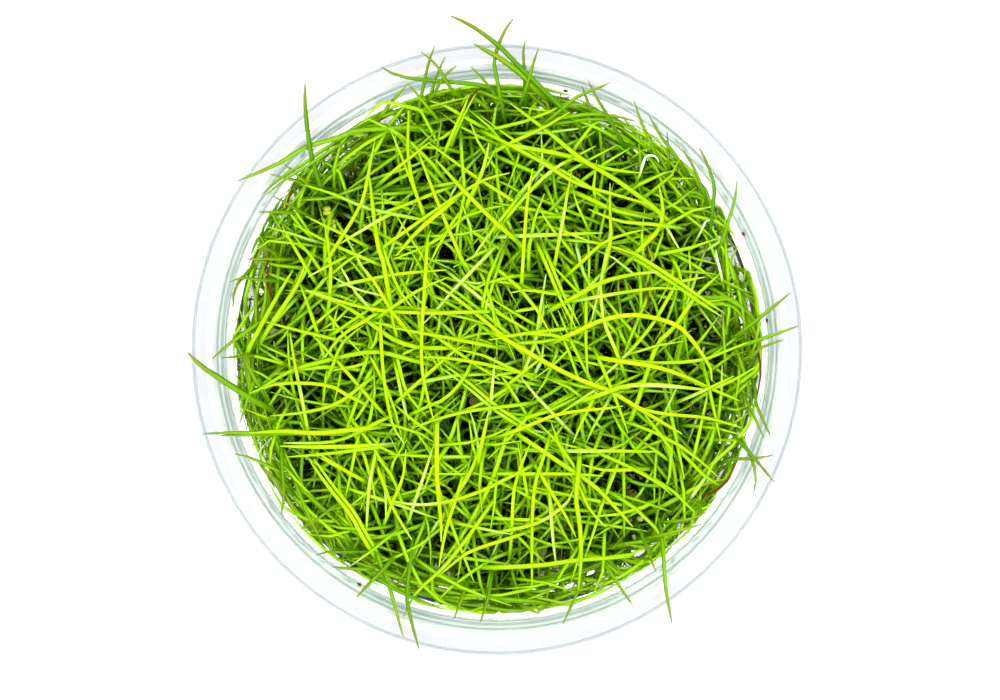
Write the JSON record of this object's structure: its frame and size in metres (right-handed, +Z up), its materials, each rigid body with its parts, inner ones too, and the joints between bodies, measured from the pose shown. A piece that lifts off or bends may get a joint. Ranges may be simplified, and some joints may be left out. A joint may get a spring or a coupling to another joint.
{
  "type": "dwarf hairgrass in a clear tissue-culture cup",
  "caption": "Dwarf hairgrass plantlets rooted in a disc of jelly in an open, clear, round plastic cup with a wide rim; fine leaves lie criss-cross level with the rim.",
  "frame": {"origin": "middle of the cup's flat bottom", "axes": "+Z up along the cup's axis, +Y towards the longest leaf that reaches over the rim"},
  "size_m": [0.1, 0.1039, 0.0544],
  "materials": {
    "clear_plastic": "clear, thin, smooth moulded plastic",
    "jelly": "half-clear cream jelly, smooth and wet",
    "leaf_green": "fresh yellow-green needle leaves with a soft waxy sheen"
  },
  "bodies": {
    "root": {"cup": "clear_plastic", "gel": "jelly", "tuft_01": "leaf_green", "tuft_02": "leaf_green", "tuft_03": "leaf_green", "tuft_04": "leaf_green", "tuft_05": "leaf_green", "tuft_06": "leaf_green", "tuft_07": "leaf_green", "tuft_08": "leaf_green", "tuft_09": "leaf_green", "tuft_10": "leaf_green", "tuft_11": "leaf_green", "tuft_12": "leaf_green", "tuft_13": "leaf_green", "tuft_14": "leaf_green", "tuft_15": "leaf_green", "tuft_16": "leaf_green", "tuft_17": "leaf_green", "tuft_18": "leaf_green", "tuft_19": "leaf_green", "tuft_20": "leaf_green", "tuft_21": "leaf_green", "tuft_22": "leaf_green", "tuft_23": "leaf_green", "tuft_24": "leaf_green", "tuft_25": "leaf_green", "tuft_26": "leaf_green", "tuft_27": "leaf_green", "tuft_28": "leaf_green", "tuft_29": "leaf_green", "tuft_30": "leaf_green", "tuft_31": "leaf_green", "tuft_32": "leaf_green", "tuft_33": "leaf_green", "tuft_34": "leaf_green", "tuft_35": "leaf_green", "tuft_36": "leaf_green", "tuft_37": "leaf_green", "tuft_38": "leaf_green", "tuft_39": "leaf_green", "tuft_40": "leaf_green", "tuft_41": "leaf_green", "tuft_42": "leaf_green"}
  },
  "joints": []
}
